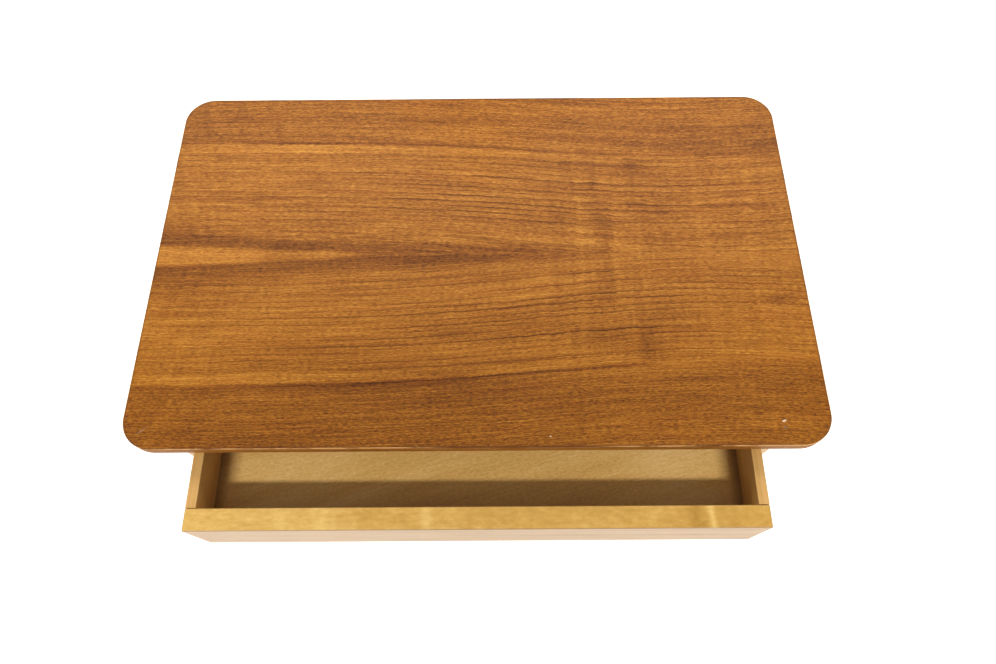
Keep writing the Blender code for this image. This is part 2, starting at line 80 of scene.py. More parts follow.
floor = mesh_piece("floor", floor_corners, [(0, 1, 2, 3)], floor_paint, smooth=False)

WALL_LIGHT = 0.36
room = bpy.data.worlds.new("white_room")
room.use_nodes = True
bpy.context.scene.world = room
room_nodes = room.node_tree.nodes
room_glow = room_nodes["Background"]
room_glow.inputs["Color"].default_value = (1.0, 0.985, 0.965, 1)
room_glow.inputs["Strength"].default_value = WALL_LIGHT
room_seen = room_nodes.new("ShaderNodeBackground")
room_seen.inputs["Color"].default_value = (1, 1, 1, 1)
room_either = room_nodes.new("ShaderNodeMixShader")
room_path = room_nodes.new("ShaderNodeLightPath")
room.node_tree.links.new(room_path.outputs["Is Camera Ray"], room_either.inputs[0])
room.node_tree.links.new(room_glow.outputs[0], room_either.inputs[1])
room.node_tree.links.new(room_seen.outputs[0], room_either.inputs[2])
room.node_tree.links.new(room_either.outputs[0], room_nodes["World Output"].inputs["Surface"])

drawer_low, drawer_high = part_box("drawer_front")
LIGHT_RISE = np.radians(52.0)
LIGHT_DISTANCE = 3.6
LIGHT_ASIDE = 1.22
LIGHT_WIDTH, LIGHT_HEIGHT = 1.06, 0.22
LIGHT_POWER = 108.0
lamp_aim = Vector((0, drawer_high.y, drawer_high.z))
lamp_side = Vector((0, -np.cos(LIGHT_RISE), np.sin(LIGHT_RISE)))


def soft_light(name, place, aim, width, height, energy, colour):
    """A rectangular soft box at a place, turned to face its aim and hidden from the camera."""
    data = bpy.data.lights.new(name, "AREA")
    data.shape = "RECTANGLE"
    data.size, data.size_y = width, height
    data.energy = energy
    data.color = colour
    light = bpy.data.objects.new(name, data)
    light.location = place
    light.rotation_euler = (Vector(aim) - Vector(place)).to_track_quat("-Z", "Y").to_euler()
    light.visible_camera = False
    bpy.context.scene.collection.objects.link(light)
    return light


for name, aside in (("soft_box_left", -LIGHT_ASIDE), ("soft_box_right", LIGHT_ASIDE)):
    lamp_place = lamp_aim + LIGHT_DISTANCE * lamp_side + Vector((aside, 0, 0))
    soft_light(name, lamp_place, lamp_aim + Vector((aside, 0, 0)), LIGHT_WIDTH, LIGHT_HEIGHT,
               LIGHT_POWER, (1.0, 0.965, 0.91))

FLAG_AT = 1.10
FLAG_HALF_WIDTH = 0.39
FLAG_FOOT, FLAG_TOP = -0.6, 0.7
flag_up = Vector((0, lamp_side.z, -lamp_side.y))
flag_middle = lamp_aim + FLAG_AT * lamp_side
flag_corners = np.array([flag_middle + Vector((across * FLAG_HALF_WIDTH, 0, 0)) + rise * flag_up
                         for across, rise in ((-1, FLAG_FOOT), (1, FLAG_FOOT),
                                              (1, FLAG_TOP), (-1, FLAG_TOP))])
flag_cloth = bpy.data.materials.new("flag_cloth")
flag_cloth.use_nodes = True
flag_shader = flag_cloth.node_tree.nodes["Principled BSDF"]
flag_shader.inputs["Base Color"].default_value = (0.02, 0.02, 0.02, 1)
flag_shader.inputs["Roughness"].default_value = 1.0
flag = mesh_piece("flag", flag_corners, [(0, 1, 2, 3)], flag_cloth, smooth=False)
flag.visible_camera = False
flag.visible_diffuse = False
flag.visible_glossy = False

# A third soft box over the back edge brightens the far half of the top.
back_edge = (0.0, 0.20, 0.55)
back_lamp = soft_light("soft_box_back", (0.0, 0.45, 1.05), back_edge, 1.60, 0.30, 5.4,
                       (1.0, 0.96, 0.90))
back_lamp.visible_glossy = False

# A white card above and behind is only seen reflected, as a faint sheen on the far half.
sheen_card = soft_light("sheen_card", (0.0, 1.35, 1.75), back_edge, 2.60, 0.90, 6.5,
                        (0.97, 0.98, 1.0))
sheen_card.visible_diffuse = False


# The camera stands in front of the drawer, a little to the right, and looks steeply down on the
# top. Its lens is a moderate wide angle.

CAMERA_PLACE = Vector((0.01956, -0.30939, 1.14029))
CAMERA_PITCH, CAMERA_YAW, CAMERA_ROLL = np.radians((66.138, -0.280, -0.656))
FOCAL_LENGTH, SENSOR_WIDTH = 26.229, 36.0
level = Vector((np.cos(CAMERA_YAW), -np.sin(CAMERA_YAW), 0))
ahead = Vector((np.sin(CAMERA_YAW) * np.cos(CAMERA_PITCH),
                np.cos(CAMERA_YAW) * np.cos(CAMERA_PITCH),
                -np.sin(CAMERA_PITCH)))
above = level.cross(ahead)
camera_right = np.cos(CAMERA_ROLL) * level + np.sin(CAMERA_ROLL) * above
camera_up = np.cos(CAMERA_ROLL) * above - np.sin(CAMERA_ROLL) * level
camera_data = bpy.data.cameras.new("camera")
camera_data.lens = FOCAL_LENGTH
camera_data.sensor_width = SENSOR_WIDTH
camera = bpy.data.objects.new("camera", camera_data)
turn = Matrix((camera_right, camera_up, -ahead)).transposed().to_4x4()
camera.matrix_world = Matrix.Translation(CAMERA_PLACE) @ turn
bpy.context.scene.collection.objects.link(camera)
bpy.context.scene.camera = camera
bpy.context.scene.view_settings.view_transform = "Standard"


# The face of the top: two leaves of teak veneer cut one after the other from the same block and
# opened like a book, so that their figure mirrors about the joint down the middle of the top.
# They are glued to the core, trimmed flush with the lipping, rounded at the arris and varnished.

class Signal:
    """A value that varies over a surface. Arithmetic on signals makes Math nodes."""

    def __init__(self, tree, socket):
        self.tree = tree
        self.socket = socket

    def maths(self, operation, *others, clamp=False):
        node = self.tree.nodes.new("ShaderNodeMath")
        node.operation = operation
        node.use_clamp = clamp
        for place, value in enumerate((self, *others)):
            plug(self.tree, node.inputs[place], value)
        return Signal(self.tree, node.outputs[0])

    def __add__(self, other):
        return self.maths("ADD", other)

    def __sub__(self, other):
        return self.maths("SUBTRACT", other)

    def __mul__(self, other):
        return self.maths("MULTIPLY", other)

    def __truediv__(self, other):
        return self.maths("DIVIDE", other)

    __radd__ = __add__
    __rmul__ = __mul__

    def __rsub__(self, other):
        return self.maths("MULTIPLY", -1.0) + other

    def __abs__(self):
        return self.maths("ABSOLUTE")

    def clip(self):
        return self.maths("ADD", 0.0, clamp=True)

    def below(self, other):
        return self.maths("MINIMUM", other)

    def beyond(self, other):
        return self.maths("MAXIMUM", other)

    def fraction(self):
        return self.maths("FRACT")

    def whole(self):
        return self.maths("FLOOR")

    def hump(self, middle, width):
        """The bell exp(-((x - middle) / width)^2)."""
        offset = (self - middle) / width
        return (offset * offset * -1.0).maths("EXPONENT")

    def rise(self, low, high):
        """A smooth step from 0 at low to 1 at high; low may be the larger of the two."""
        node = self.tree.nodes.new("ShaderNodeMapRange")
        node.interpolation_type = "SMOOTHSTEP"
        plug(self.tree, node.inputs["Value"], self)
        plug(self.tree, node.inputs["From Min"], low)
        plug(self.tree, node.inputs["From Max"], high)
        return Signal(self.tree, node.outputs["Result"])


def plug(tree, socket, value):
    """Sets a socket to a number or colour, or links a signal to it."""
    if isinstance(value, Signal):
        tree.links.new(value.socket, socket)
    elif hasattr(socket.default_value, "__len__") and not hasattr(value, "__len__"):
        socket.default_value = [value] * len(socket.default_value)
    elif hasattr(value, "__len__") and len(value) == 3 and len(socket.default_value) == 4:
        socket.default_value = (*value, 1.0)
    else:
        socket.default_value = value


def node(tree, kind, outlet, inputs, **settings):
    """Adds a node with its settings and inputs, and gives back one outlet as a signal."""
    made = tree.nodes.new(kind)
    for name, value in settings.items():
        setattr(made, name, value)
    for name, value in inputs.items():
        plug(tree, made.inputs[name], value)
    return Signal(tree, made.outputs[outlet])


def vector(tree, x, y, z):
    """A vector from three signals or numbers."""
    return node(tree, "ShaderNodeCombineXYZ", 0, {"X": x, "Y": y, "Z": z})


def parts(tree, source):
    """The X, Y and Z of a vector signal."""
    split = tree.nodes.new("ShaderNodeSeparateXYZ")
    plug(tree, split.inputs[0], source)
    return [Signal(tree, split.outputs[axis]) for axis in range(3)]


def turned(x, y, lean, place=(0.0, 0.0)):
    """Distances from a place along and across a direction, given by its (cosine, sine)."""
    cosine, sine = lean
    right, up = x - place[0], y - place[1]
    return right * cosine + up * sine, up * cosine - right * sine


def noise(tree, place, detail=2.0, rough=0.5, distortion=0.0):
    """Smooth noise from 0 to 1 at a place that is already in pattern units."""
    inputs = {"Vector": place, "Scale": 1.0, "Detail": detail, "Roughness": rough,
              "Distortion": distortion}
    return node(tree, "ShaderNodeTexNoise", 0, inputs)


def blend(tree, share, first, second, how="MIX"):
    """Mixes two colours: the first at share 0, the second at share 1."""
    made = tree.nodes.new("ShaderNodeMix")
    made.data_type = "RGBA"
    made.blend_type = how
    plug(tree, made.inputs[0], share)
    plug(tree, made.inputs[6], first)
    plug(tree, made.inputs[7], second)
    return Signal(tree, made.outputs[2])


def tones(tree, value, stops):
    """A colour from a value, by a ramp of (position, red, green, blue)."""
    ramp = tree.nodes.new("ShaderNodeValToRGB")
    marks = ramp.color_ramp.elements
    while len(marks) < len(stops):
        marks.new(0.5)
    for mark, (position, *colour) in zip(marks, sorted(stops)):
        mark.position = position
        mark.color = (*colour, 1.0)
    plug(tree, ramp.inputs[0], value)
    return Signal(tree, ramp.outputs[0])


def shader_group(name, inputs, outputs):
    """A new node group and its input signals by name. Types are given by the default values."""
    tree = bpy.data.node_groups.new(name, "ShaderNodeTree")
    for label, value in inputs.items():
        kind = "NodeSocketVector" if hasattr(value, "__len__") else "NodeSocketFloat"
        socket = tree.interface.new_socket(label, in_out="INPUT", socket_type=kind)
        socket.default_value = value
    for label in outputs:
        kind = "NodeSocketColor" if "Colour" in label else "NodeSocketFloat"
        tree.interface.new_socket(label, in_out="OUTPUT", socket_type=kind)
    entry = tree.nodes.new("NodeGroupInput")
    tree.nodes.new("NodeGroupOutput")
    return tree, {label: Signal(tree, entry.outputs[label]) for label in inputs}


def give_out(tree, **values):
    """Links signals to a group's outputs by name."""
    outlet = next(made for made in tree.nodes if made.type == "GROUP_OUTPUT")
    for label, value in values.items():
        plug(tree, outlet.inputs[label], value)


def use(tree, group, **inputs):
    """Places a group in a material and gives back its outputs by name."""
    made = tree.nodes.new("ShaderNodeGroup")
    made.node_tree = group
    for label, value in inputs.items():
        plug(tree, made.inputs[label], value)
    return {outlet.name: Signal(tree, outlet) for outlet in made.outputs}


def material(name):
    """A Principled material: its tree, and its place on the object in metres."""
    made = bpy.data.materials.new(name)
    made.use_nodes = True
    tree = made.node_tree
    place = node(tree, "ShaderNodeTexCoord", "Object", {})
    return made, tree, place


def finish(tree, colour, roughness, height, depth, **constants):
    """Feeds the Principled shader: colour, roughness, and a bump of this depth in metres."""
    shader = tree.nodes["Principled BSDF"]
    plug(tree, shader.inputs["Base Color"], colour)
    plug(tree, shader.inputs["Roughness"], roughness)
    bump = {"Strength": 1.0, "Distance": depth, "Height": height}
    plug(tree, shader.inputs["Normal"], node(tree, "ShaderNodeBump", "Normal", bump))
    for label, value in constants.items():
        shader.inputs[label.replace("_", " ")].default_value = value


# Every wood shows fibres, streaks along them and open pores: short dark slits that lie in line
# with the grain. The group takes a place whose X runs along the grain.
grain, given = shader_group(
    "wood_grain",
    {"Place": (0, 0, 0), "Streak Width": 0.004, "Pore Length": 0.004, "Pore Width": 0.0003,
     "Pore Share": 0.3},
    ("Streaks", "Fibre", "Pores"))
along, across, deep = parts(grain, given["Place"])
waver = noise(grain, vector(grain, along * 9.0, across * 14.0, deep * 14.0)) * 0.0016
lines = across + waver
width = given["Streak Width"]
streak_place = vector(grain, along * 3.2, lines / width, deep / width)
streaks = noise(grain, streak_place, detail=3.0, rough=0.6)
fibre_place = vector(grain, along * 22.0, lines * 1500.0, deep * 1500.0)
fibre = noise(grain, fibre_place, detail=2.0, rough=0.55)
pore_place = vector(grain, along / given["Pore Length"], lines / given["Pore Width"],
                    deep / given["Pore Width"])
pore_field = noise(grain, pore_place, detail=0.0)
threshold = 0.86 - given["Pore Share"] * 0.5
pores = pore_field.rise(threshold - 0.06, threshold + 0.06)
give_out(grain, Streaks=streaks, Fibre=fibre, Pores=pores)


def show_grain(tree, place, streak_width, pores):
    """Places the wood grain in a material. pores are their length, width and share."""
    length, width, share = pores
    return use(tree, grain, Place=place,
               **{"Streak Width": streak_width, "Pore Length": length, "Pore Width": width,
                  "Pore Share": share})


# Years of use dull a varnish in patches, lay fine scratches over it and leave specks in it.
handling, given = shader_group(
    "handling_marks", {"Place": (0, 0, 0), "Amount": 1.0}, ("Dull", "Scratches", "Specks"))
x, y, z = parts(handling, given["Place"])
patches = noise(handling, vector(handling, x * 9.0, y * 9.0, z * 9.0), detail=4.0, rough=0.6)
lengthwise, crosswise = turned(x, y, (0.94, 0.34))
scratch_place = vector(handling, lengthwise * 14.0, crosswise * 1900.0, z * 60.0)
scratches = noise(handling, scratch_place, detail=1.0).rise(0.70, 0.76)
scattered = noise(handling, vector(handling, x * 26.0, y * 26.0, z * 26.0)).rise(0.52, 0.62)
speck_place = vector(handling, x * 520.0, y * 520.0, z * 520.0)
specks = noise(handling, speck_place, detail=0.0).rise(0.80, 0.86)
give_out(handling, Dull=patches * given["Amount"],
         Scratches=scratches * scattered * given["Amount"], Specks=specks * given["Amount"])

# Arrises lose their varnish in broken runs, where hands and chairs rub them.
edge_wear, given = shader_group(
    "edge_wear",
    {"Place": (0, 0, 0), "Edge": 1.0, "Fineness": 40.0, "Spared": 0.35, "Rubbed": 0.65}, ("Wear",))
x, y, z = parts(edge_wear, given["Place"])
fineness = given["Fineness"]
rub = noise(edge_wear, vector(edge_wear, x * fineness, y * fineness, z * fineness), detail=3.0,
            rough=0.6)
give_out(edge_wear, Wear=given["Edge"] * rub.rise(given["Spared"], given["Rubbed"]))

veneer_low, veneer_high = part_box("tabletop_veneer")
JOINT_Y = (veneer_low.y + veneer_high.y) / 2
teak_veneer, tree, place = material("teak_veneer_varnished")
x, y, z = parts(tree, place)
offset = y - JOINT_Y
leaf = offset.rise(-0.0001, 0.0001)
out = abs(offset)
lean = x + out * x.rise(0.02, -0.20) * 0.35

# The rings sweep towards the joint and are drawn closest to it right of the middle.
wander = noise(tree, vector(tree, x * 3.0, out * 12.0, leaf * 0.35), detail=1.0) - 0.5
curl_place = vector(tree, lean * 88.0, out * 7.0, leaf * 0.25)
curl = noise(tree, curl_place, detail=2.0, rough=0.5) - 0.5
curl_strength = (x.hump(0.125, 0.075) * out.rise(0.145, 0.075) * 1.0
                 + x.rise(-0.12, -0.30) * 0.42 + x.rise(0.20, 0.29) * 0.36 + 0.14)
curl_tone = curl * curl_strength
heart_pull = (x + 0.30).beyond(0.0) * out.hump(0.0, 0.05) * 0.016
crimp = noise(tree, vector(tree, x * 62.0, out * 30.0, leaf * 0.4 + 2.0), detail=1.0) - 0.5
ring_at = (out + x.hump(0.20, 0.20) * 0.019 + heart_pull + wander * 0.004
           + curl_tone * 0.0032 + crimp * 0.0020)

fine_streaks = noise(tree, vector(tree, x * 14.0, ring_at * 760.0, leaf * 0.7), detail=4.0,
                     rough=0.68) - 0.5
flecks = noise(tree, vector(tree, x * 230.0, ring_at * 1050.0, leaf * 0.7), detail=2.0,
               rough=0.6) - 0.5

# Growth rings: each darkens towards its outer side and ends in a thin line.
RING_WIDTH = 0.0056
uneven = noise(tree, vector(tree, ring_at * 42.0, x * 0.7, 3.1), detail=1.0)
turns = (ring_at + fine_streaks * 0.0011 + flecks * 0.0005) / RING_WIDTH + uneven * 1.9
ring_share = turns.fraction()
ring_name = turns.whole()
line_strength = noise(tree, vector(tree, ring_name * 7.31, x * 6.5, leaf * 0.4), detail=2.0)
fine_line = ring_share.rise(0.70, 0.90) * ring_share.rise(1.0, 0.92)
soft_line = ring_share.rise(0.25, 0.93) * ring_share.rise(1.0, 0.95)
mid_zone = ring_at.rise(0.018, 0.045) * ring_at.rise(0.126, 0.112)
line_here = (line_strength.rise(0.32, 0.62) * (mid_zone * 0.85 + 0.15)
             * (x.hump(0.04, 0.20) * 0.75 + 0.25))

grained = show_grain(tree, vector(tree, x, ring_at, leaf * 0.05 + z), 0.0046,
                     (0.0026, 0.00042, 0.46))

# The dark wedge along the joint, and the light tongue that it encloses at the left end.
wedge_top = (0.031 - (x + 0.30) * 0.060).beyond(0.0045)
tongue_edge = (x.rise(-0.205, -0.30) * 0.003 + x.rise(-0.185, -0.215) * 0.0035
               + x.rise(-0.10, -0.150) * 0.0046)
frayed = out + (fine_streaks * 0.006 + curl * 0.004) * x.rise(-0.09, -0.14)
wedge = (((out + fine_streaks * 0.007) / wedge_top).rise(1.35, 0.25) * x.rise(0.17, 0.00)
         * (frayed - tongue_edge).rise(-0.0022, 0.0028))
tongue_reach = (x.rise(-0.195, -0.212)
                + x.rise(-0.180, -0.155) * x.rise(-0.09, -0.12) * 0.35)
tongue = (tongue_edge - frayed).rise(-0.0025, 0.0045) * tongue_reach

# The plain light streak between two dark lines, far out on each leaf, and the darker wood beyond.
streak_ends = x.rise(0.165, 0.125)
light_streak = ring_at.rise(0.1165, 0.1205) * ring_at.rise(0.1290, 0.1265) * streak_ends
dark_line = ring_at.hump(0.1300, 0.0016) * streak_ends * (0.55 + 0.45 * x.rise(-0.30, -0.10))
second_line = ring_at.hump(0.1342, 0.0007) * 0.45 * x.rise(0.02, -0.12)
inner_line = ring_at.hump(0.1192, 0.0007) * x.rise(-0.12, -0.02) * streak_ends * 0.75
outer_zone = ring_at.rise(0.130, 0.142)
shade_band = ring_at.hump(0.1330, 0.0050) * x.rise(0.10, -0.02)
end_band = ring_at.hump(0.1325, 0.010) * x.rise(0.15, 0.27)

# Single marks in the wood: a cloudy smudge and an eye on both leaves, and one small knot.
smudge = x.hump(0.148, 0.012) * out.hump(0.097, 0.012)
eye = x.hump(0.277, 0.015) * out.hump(0.0480, 0.0042)
knot = x.hump(0.2378, 0.0035) * offset.hump(-0.1570, 0.0013)
# Painted shade darkens the middle of the near leaf towards its front edge, and painted light
# lightens the two ends of that leaf.
painted_near_middle_shade = x.hump(-0.06, 0.13) * offset.rise(-0.095, -0.140)
broad = noise(tree, vector(tree, x * 4.5, ring_at * 26.0, leaf * 0.6 + 5.0)) - 0.5
painted_near_end_light = offset.hump(-0.085, 0.022) * abs(x).rise(0.13, 0.25)
tone = (0.600
        + (grained["Streaks"] - 0.5) * 0.34
        + fine_streaks * 1.00 + flecks * 1.05
        + (grained["Fibre"] - 0.5) * 0.35
        + curl_tone * (0.42 + fine_streaks * 0.5)
        + broad * 0.26 + painted_near_end_light * 0.08
        + light_streak * (0.03 + 0.05 * x.hump(-0.16, 0.11)) + tongue * 0.13
        - fine_line * line_here * (0.30 + flecks * 0.6) - soft_line * line_here * 0.12
        - wedge * (0.16 + 0.22 * grained["Streaks"]) - dark_line * 0.28 - second_line * 0.18
        - inner_line * 0.20 - shade_band * 0.12 - outer_zone * 0.09 - end_band * 0.15
        - painted_near_middle_shade * 0.07 - smudge * 0.13 - eye * (0.17 + fine_streaks * 0.4) - knot * 0.34
        - grained["Pores"] * (0.15 + 0.09 * outer_zone))
teak_colour = tones(tree, tone.clip(), (
    (0.00, 0.068, 0.019, 0.002),
    (0.25, 0.155, 0.046, 0.004),
    (0.50, 0.283, 0.096, 0.008),
    (0.72, 0.415, 0.163, 0.017),
    (1.00, 0.600, 0.280, 0.044)))
worn = use(tree, handling, Place=place, Amount=1.0)

# Wear: a pale bare arris, a chip with a dent in front of it, a speck and one short scratch.
rim = node(tree, "ShaderNodeAttribute", "Fac", {}, attribute_name="rim", attribute_type="GEOMETRY")
ends = abs(x - 0.035).rise(0.055, 0.10) * 0.90
bare = use(tree, edge_wear, Place=place, Edge=rim.rise(0.66, 0.86) * ends, Fineness=38.0,
           Spared=0.32, Rubbed=0.54)["Wear"]
# The rounded arris is made darker along its whole length.
darker_rim = rim.rise(0.22, 0.60)
chip_along, chip_aside = turned(x, y, (0.93, 0.37), place=(0.2590, -0.1318))
chip = (chip_along.hump(0.0, 0.0021) * chip_aside.hump(0.0, 0.0009)).rise(0.30, 0.65)
speck = (x.hump(0.0617, 0.0012) * y.hump(-0.1440, 0.0007)).rise(0.35, 0.65)
dent = (x.hump(0.2592, 0.0024) * y.hump(-0.1375, 0.0017)).rise(0.20, 0.75)
scratch_along, scratch_aside = turned(x, y, (0.77, 0.64), place=(-0.2826, -0.1372))
scratch = scratch_along.hump(0.0, 0.0036) * scratch_aside.hump(0.0, 0.0006)
redder = noise(tree, vector(tree, x * 9.0, ring_at * 150.0, leaf * 0.3 + 9.0), detail=2.0)
colour = blend(tree, redder.rise(0.42, 0.72) * 0.6, teak_colour, (0.99, 0.90, 0.92), "MULTIPLY")
colour = blend(tree, darker_rim * 0.80, colour, (0.115, 0.034, 0.004))
colour = blend(tree, bare, colour, (0.68, 0.37, 0.125))
colour = blend(tree, dent * 0.60, colour, (0.18, 0.105, 0.055))
colour = blend(tree, scratch * 0.36, colour, (0.50, 0.37, 0.25))
colour = blend(tree, (chip + speck * 0.7).clip() * 0.9, colour, (0.74, 0.62, 0.45))
joint_line = out.rise(0.00022, 0.00008)
colour = blend(tree, joint_line * 0.25, colour, (0.10, 0.035, 0.010))
rough = (0.38 + (worn["Dull"] - 0.5) * 0.16 + worn["Scratches"] * 0.12
         + grained["Pores"] * 0.10 + rim * 0.22)
height = (0.5 + grained["Fibre"] * 0.10 - grained["Pores"] * 0.45 + worn["Specks"] * 0.5
          - (dent + scratch * 0.5) * 1.5 + curl_tone * 0.4)
finish(tree, colour, rough, height, 0.00005, Specular_IOR_Level=0.24)


OUTLINE_STEP = 0.003


def round_outline(low, high, radius, inset):
    """The outline of a board with round corners, drawn in by inset.

    Each corner is centre + (radius - inset) (cos a, sin a), with a over a quarter turn, and the
    straight sides between are divided evenly. Gives points (n, 2) and the length run (n,)."""
    centres = np.array([[high.x - radius, high.y - radius], [low.x + radius, high.y - radius],
                        [low.x + radius, low.y + radius], [high.x - radius, low.y + radius]])
    corner_steps = 20
    points = []
    for quarter in range(4):
        angle = np.pi / 2 * (quarter + np.linspace(0, 1, corner_steps + 1))
        ring = np.stack([np.cos(angle), np.sin(angle)], 1)
        points.append(centres[quarter] + (radius - inset) * ring)
        start, end = points[-1][-1], centres[(quarter + 1) % 4] + (radius - inset) * ring[-1]
        count = int(round(np.linalg.norm(centres[(quarter + 1) % 4] - centres[quarter])
                          / OUTLINE_STEP))
        share = np.arange(1, count)[:, None] / count
        points.append(start + (end - start) * share)
    points = np.concatenate(points)
    run = np.concatenate([[0], np.cumsum(np.linalg.norm(np.diff(points, axis=0), axis=1))])
    return points, run


def ring_faces(rows, columns, closed_rows=False):
    """Quads between rows of a grid whose columns close on themselves, row by row."""
    row = np.arange(rows if closed_rows else rows - 1)[:, None]
    column = np.arange(columns)[None, :]
    after = (column + 1) % columns
    up = (row + 1) % rows
    quads = np.stack([row * columns + column, row * columns + after,
                      up * columns + after, up * columns + column], -1)
    return quads.reshape(-1, 4)


def grid_caps(rows, columns):
    """The faces that close the first and the last row of such a grid."""
    return [list(range(columns - 1, -1, -1)), list(range((rows - 1) * columns, rows * columns))]


def ripple(run, period, count, seed):
    """An even wobble from -1 to 1 along a closed path: a sum of sines of whole turns."""
    rng = np.random.default_rng(seed)
    turns = rng.integers(3, 90, count)
    phase = rng.uniform(0, 2 * np.pi, count)
    waves = np.sin(2 * np.pi * run[:, None] / period * turns + phase) / np.sqrt(turns)
    wave = waves.sum(1)
    return wave / np.abs(wave).max()


def set_values(piece, name, kind, values):
    """Stores one value for each point of a mesh: FLOAT, or FLOAT_VECTOR as rows of three."""
    attribute = piece.data.attributes.new(name, kind, "POINT")
    label = "vector" if kind == "FLOAT_VECTOR" else "value"
    attribute.data.foreach_set(label, np.asarray(values, np.float32).ravel())


TOP_CORNER = 0.028
ARRIS = 0.00050
VENEER_FLOOR = veneer_low.z
RIM_WIDTH = 0.0016
outline, run = round_outline(veneer_low, veneer_high, TOP_CORNER, 0.0)
inward = round_outline(veneer_low, veneer_high, TOP_CORNER, 1.0)[0] - outline
path_length = run[-1] + OUTLINE_STEP
easing = ARRIS * (1.0 + 0.35 * ripple(run, path_length, 26, 5))
turn_in = np.linspace(0, np.pi / 2, 7)
# The edge stands upright to the arris, rolls over in a quarter circle and runs in flat.
in_by = np.concatenate([[0.006, 0.0, 0.0], 1 - np.cos(turn_in)[1:], [1.0, 1.0]])
insets = np.outer(in_by, easing)
insets[0] = 0.0095
insets[1:3] = 0.0
insets[-2] = easing + 0.0008
insets[-1] = 0.0060
drop = np.concatenate([[1.0, 1.0, 1.0], 1 - np.sin(turn_in)[1:], [0.0, 0.0]])
heights = veneer_high.z - np.outer(drop, easing)
heights[:2] = VENEER_FLOOR
columns = len(outline)
veneer_points = np.empty((len(insets), columns, 3))
veneer_points[..., :2] = outline + inward * insets[..., None]
veneer_points[..., 2] = heights
faces = ring_faces(len(insets), columns).tolist() + grid_caps(len(insets), columns)
top_face = mesh_piece("top_face_teak", veneer_points.reshape(-1, 3), faces, teak_veneer)
rim_values = np.zeros((len(insets), columns))
rim_values[1:] = np.clip(1.0 - (insets[1:] - easing * 0.55) / RIM_WIDTH, 0, 1)
set_values(top_face, "rim", "FLOAT", rim_values)
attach(top_face, "table")
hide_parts("tabletop_veneer")


# The lipping: solid teak strips, 10 mm wide, glued round the core before it was veneered, and
# bent in laminations round the corners. A bevel underneath makes the top look thinner.

lipping_teak, tree, place = material("teak_lipping_oiled")
strip = node(tree, "ShaderNodeAttribute", "Vector", {}, attribute_name="strip",
             attribute_type="GEOMETRY")
grained = show_grain(tree, strip, 0.0030, (0.0040, 0.00040, 0.42))
worn = use(tree, handling, Place=place, Amount=1.0)
run_along, round_edge, inner = parts(tree, strip)
broad = noise(tree, vector(tree, run_along * 5.0, round_edge * 90.0, inner * 90.0), detail=3.0)
tone = (0.50 + (grained["Streaks"] - 0.5) * 0.5 + (grained["Fibre"] - 0.5) * 0.25
        + (broad - 0.5) * 0.5 - grained["Pores"] * 0.18)
colour = tones(tree, tone.clip(), (
    (0.00, 0.085, 0.022, 0.003),
    (0.35, 0.225, 0.074, 0.007),
    (0.65, 0.380, 0.146, 0.016),
    (1.00, 0.600, 0.290, 0.050)))
arris = node(tree, "ShaderNodeAttribute", "Fac", {}, attribute_name="rim",
             attribute_type="GEOMETRY")
bare = use(tree, edge_wear, Place=place, Edge=arris, Fineness=44.0, Spared=0.38,
           Rubbed=0.62)["Wear"]
colour = blend(tree, bare * 0.5, colour, (0.62, 0.36, 0.16))
rough = 0.46 + (worn["Dull"] - 0.5) * 0.18 + grained["Pores"] * 0.12 + arris * 0.12
height = 0.5 + grained["Fibre"] * 0.15 - grained["Pores"] * 0.5 + worn["Specks"] * 0.3
finish(tree, colour, rough, height, 0.00007, Specular_IOR_Level=0.15)

lip_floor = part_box("tabletop_lipping")[0].z
GLUE_LINE = 0.00006
EDGE_HEIGHT = 0.011
UNDER_BEVEL = 0.007
LIP_WIDTH = 0.010
lip_top = VENEER_FLOOR - GLUE_LINE
edge_foot = veneer_high.z - EDGE_HEIGHT
slope = np.arctan2(UNDER_BEVEL, edge_foot - lip_floor)
BEVEL_ARRIS = 0.0009
turn_under = np.linspace(0, slope, 5)
# Section, from the top inner corner outwards, down the edge, under the bevel and back inside.
edge_in = BEVEL_ARRIS * (1 - np.cos(turn_under))
edge_down = BEVEL_ARRIS * (np.sin(turn_under) - np.tan(slope / 2))
section = np.array(
    [[LIP_WIDTH, lip_top], [0.0003, lip_top], [0.00008, lip_top - 0.0002], [0, lip_top - 0.0008]]
    + [[0, edge_foot + 0.004]]
    + np.stack([edge_in, edge_foot - edge_down], 1).tolist()
    + [[UNDER_BEVEL - 0.0008, lip_floor + 0.0008 / np.tan(slope)],
       [UNDER_BEVEL - 0.0002, lip_floor + 0.00012], [UNDER_BEVEL + 0.0006, lip_floor],
       [LIP_WIDTH, lip_floor]])
wobble = 0.00007 * ripple(run, path_length, 20, 11)
depth = section[:, 0][:, None] + wobble[None, :] * (section[:, 0][:, None] < 0.009)
depth = np.maximum(depth, 0.0)
lip_points = np.empty((len(section), columns, 3))
lip_points[..., :2] = outline + inward * depth[..., None]
lip_points[..., 2] = section[:, 1][:, None]
quads = ring_faces(len(section), columns, closed_rows=True)[:, ::-1]
lipping = mesh_piece("top_edge_lipping", lip_points.reshape(-1, 3), quads.tolist(), lipping_teak)
strips = np.empty((len(section), columns, 3))
strips[..., 0] = run
strips[..., 1] = section[:, 1][:, None]
strips[..., 2] = section[:, 0][:, None]
set_values(lipping, "strip", "FLOAT_VECTOR", strips)
near_top = np.exp(-((section[:, 1] - lip_top) / 0.0009) ** 2)
near_foot = np.exp(-(np.hypot(section[:, 1] - edge_foot, section[:, 0]) / 0.0012) ** 2)
set_values(lipping, "rim", "FLOAT", np.repeat((near_top + near_foot * 0.45)[:, None], columns, 1))
lipping.data.set_sharp_from_angle(angle=np.radians(50))
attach(lipping, "table")
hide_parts("tabletop_lipping")


# The core is a blockboard of pine strips that run the length of the top. A plain gaboon veneer
# underneath balances the teak and keeps the board flat. Both lie inside the lipping.

